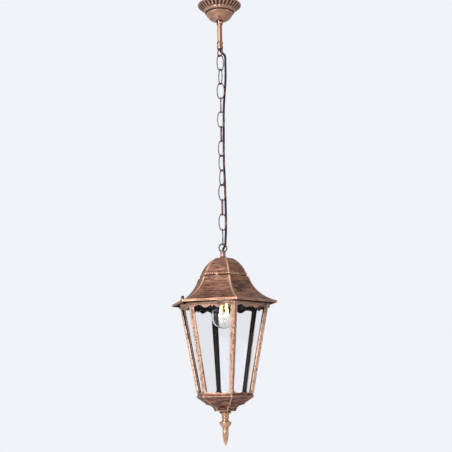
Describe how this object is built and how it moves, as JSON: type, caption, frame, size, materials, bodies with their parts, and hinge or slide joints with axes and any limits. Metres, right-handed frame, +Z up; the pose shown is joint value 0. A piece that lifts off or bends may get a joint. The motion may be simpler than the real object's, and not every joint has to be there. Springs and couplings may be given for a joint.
{
  "type": "hanging garden lantern",
  "caption": "Six-sided glazed garden lantern in antique copper with a domed roof, a clear bulb inside and a turned finial, hung on a link chain from a ceiling canopy.",
  "frame": {"origin": "on the ceiling, in the middle of the canopy and midway between the two bracket slots", "axes": "+Z up out of the ceiling, X along the bracket, one post of the cage faces -Y, the cage's hinge is on the +X side"},
  "size_m": [0.209, 0.2414, 1],
  "materials": {
    "cast_copper": "cast aluminium with a brushed antique copper lacquer",
    "stem_copper": "steel tube with a copper lacquer",
    "chain_copper": "steel wire with a dark antique copper lacquer",
    "cable": "round black rubber sheath",
    "zinc_steel": "zinc plated steel",
    "dark_screw": "dark lacquered steel",
    "porcelain": "white glazed porcelain",
    "terminal_white": "white moulded plastic",
    "pane_glass": "clear flat glass",
    "bulb_glass": "clear blown glass",
    "stem_glass": "clear pressed glass",
    "bulb_cap_metal": "nickel plated brass",
    "filament": "yellow coated filaments, lit"
  },
  "bodies": {
    "ceiling_mount": {"ceiling_bracket": "zinc_steel", "stem": "stem_copper", "stem_nuts": "zinc_steel", "terminal_block": "terminal_white", "top_loop": "stem_copper", "supply_cable": "cable"},
    "canopy": {"canopy": "cast_copper", "canopy_collar": "cast_copper", "collar_screw": "dark_screw"},
    "chain_1": {"link_1": "chain_copper"},
    "chain_2": {"link_2": "chain_copper"},
    "chain_3": {"link_3": "chain_copper"},
    "chain_4": {"link_4": "chain_copper"},
    "chain_5": {"link_5": "chain_copper"},
    "chain_6": {"link_6": "chain_copper"},
    "chain_7": {"link_7": "chain_copper"},
    "chain_8": {"link_8": "chain_copper"},
    "chain_9": {"link_9": "chain_copper"},
    "chain_10": {"link_10": "chain_copper"},
    "chain_11": {"link_11": "chain_copper"},
    "chain_12": {"link_12": "chain_copper"},
    "chain_13": {"link_13": "chain_copper"},
    "lantern": {"lantern_loop": "cast_copper", "shank_nuts": "zinc_steel", "roof_cap": "cast_copper", "roof": "cast_copper", "bridge_strap": "zinc_steel", "lampholder": "porcelain", "bulb_cap": "bulb_cap_metal", "bulb_glass": "bulb_glass", "bulb_stem": "stem_glass", "bulb_filaments": "filament", "hinge_pin": "zinc_steel"},
    "thumb_screw": {"thumb_screw": "dark_screw"},
    "cage": {"top_ring": "cast_copper", "ring_screws": "zinc_steel", "post_1": "cast_copper", "post_2": "cast_copper", "post_3": "cast_copper", "post_4": "cast_copper", "post_5": "cast_copper", "post_6": "cast_copper", "glass_pane_1": "pane_glass", "glass_pane_2": "pane_glass", "glass_pane_3": "pane_glass", "glass_pane_4": "pane_glass", "glass_pane_5": "pane_glass", "glass_pane_6": "pane_glass", "base_cup": "cast_copper", "base_screws": "zinc_steel", "finial": "cast_copper", "finial_nut": "zinc_steel"}
  },
  "joints": [
    {"name": "canopy_slide", "type": "slide", "parent": "ceiling_mount", "child": "canopy", "axis": [0, 0, -1], "range_m": [0, 0.041]},
    {"name": "link_1_swing", "type": "hinge", "parent": "ceiling_mount", "child": "chain_1", "pos_m": [0, 0, -0.12215], "axis": [0.9848, 0.1736, 0], "range_deg": [-45, 45], "deforming": ["supply_cable"]},
    {"name": "link_2_swing", "type": "hinge", "parent": "chain_1", "child": "chain_2", "pos_m": [0, 0, -0.15605], "axis": [0.2588, -0.9659, 0], "range_deg": [-45, 45]},
    {"name": "link_3_swing", "type": "hinge", "parent": "chain_2", "child": "chain_3", "pos_m": [0, 0, -0.18995], "axis": [-0.9848, 0.1736, 0], "range_deg": [-45, 45]},
    {"name": "link_4_swing", "type": "hinge", "parent": "chain_3", "child": "chain_4", "pos_m": [0, 0, -0.22385], "axis": [-0.1736, -0.9848, 0], "range_deg": [-45, 45]},
    {"name": "link_5_swing", "type": "hinge", "parent": "chain_4", "child": "chain_5", "pos_m": [0, 0, -0.25775], "axis": [0.9659, -0.2588, 0], "range_deg": [-45, 45]},
    {"name": "link_6_swing", "type": "hinge", "parent": "chain_5", "child": "chain_6", "pos_m": [0, 0, -0.29165], "axis": [0.342, 0.9397, 0], "range_deg": [-45, 45]},
    {"name": "link_7_swing", "type": "hinge", "parent": "chain_6", "child": "chain_7", "pos_m": [0, 0, -0.32555], "axis": [-0.7071, 0.7071, 0], "range_deg": [-45, 45]},
    {"name": "link_8_swing", "type": "hinge", "parent": "chain_7", "child": "chain_8", "pos_m": [0, 0, -0.35945], "axis": [-0.866, -0.5, 0], "range_deg": [-45, 45]},
    {"name": "link_9_swing", "type": "hinge", "parent": "chain_8", "child": "chain_9", "pos_m": [0, 0, -0.39335], "axis": [0.4226, -0.9063, 0], "range_deg": [-45, 45]},
    {"name": "link_10_swing", "type": "hinge", "parent": "chain_9", "child": "chain_10", "pos_m": [0, 0, -0.42725], "axis": [0.9848, 0.1736, 0], "range_deg": [-45, 45]},
    {"name": "link_11_swing", "type": "hinge", "parent": "chain_10", "child": "chain_11", "pos_m": [0, 0, -0.46115], "axis": [0.0872, 0.9962, 0], "range_deg": [-45, 45]},
    {"name": "link_12_swing", "type": "hinge", "parent": "chain_11", "child": "chain_12", "pos_m": [0, 0, -0.49505], "axis": [-1, 0, 0], "range_deg": [-45, 45]},
    {"name": "link_13_swing", "type": "hinge", "parent": "chain_12", "child": "chain_13", "pos_m": [0, 0, -0.52895], "axis": [0.2588, 0.9659, 0], "range_deg": [-45, 45]},
    {"name": "lantern_swing", "type": "hinge", "parent": "chain_13", "child": "lantern", "pos_m": [0, 0, -0.5626], "axis": [1, 0, 0], "range_deg": [-45, 45]},
    {"name": "thumb_screw_turn", "type": "hinge", "parent": "lantern", "child": "thumb_screw", "pos_m": [-0.0915, 0, -0.69], "axis": [0, 0, 1], "continuous": true},
    {"name": "cage_hinge", "type": "hinge", "parent": "lantern", "child": "cage", "pos_m": [0.097, 0, -0.7013], "axis": [0, -1, 0], "range_deg": [0, 90]}
  ]
}
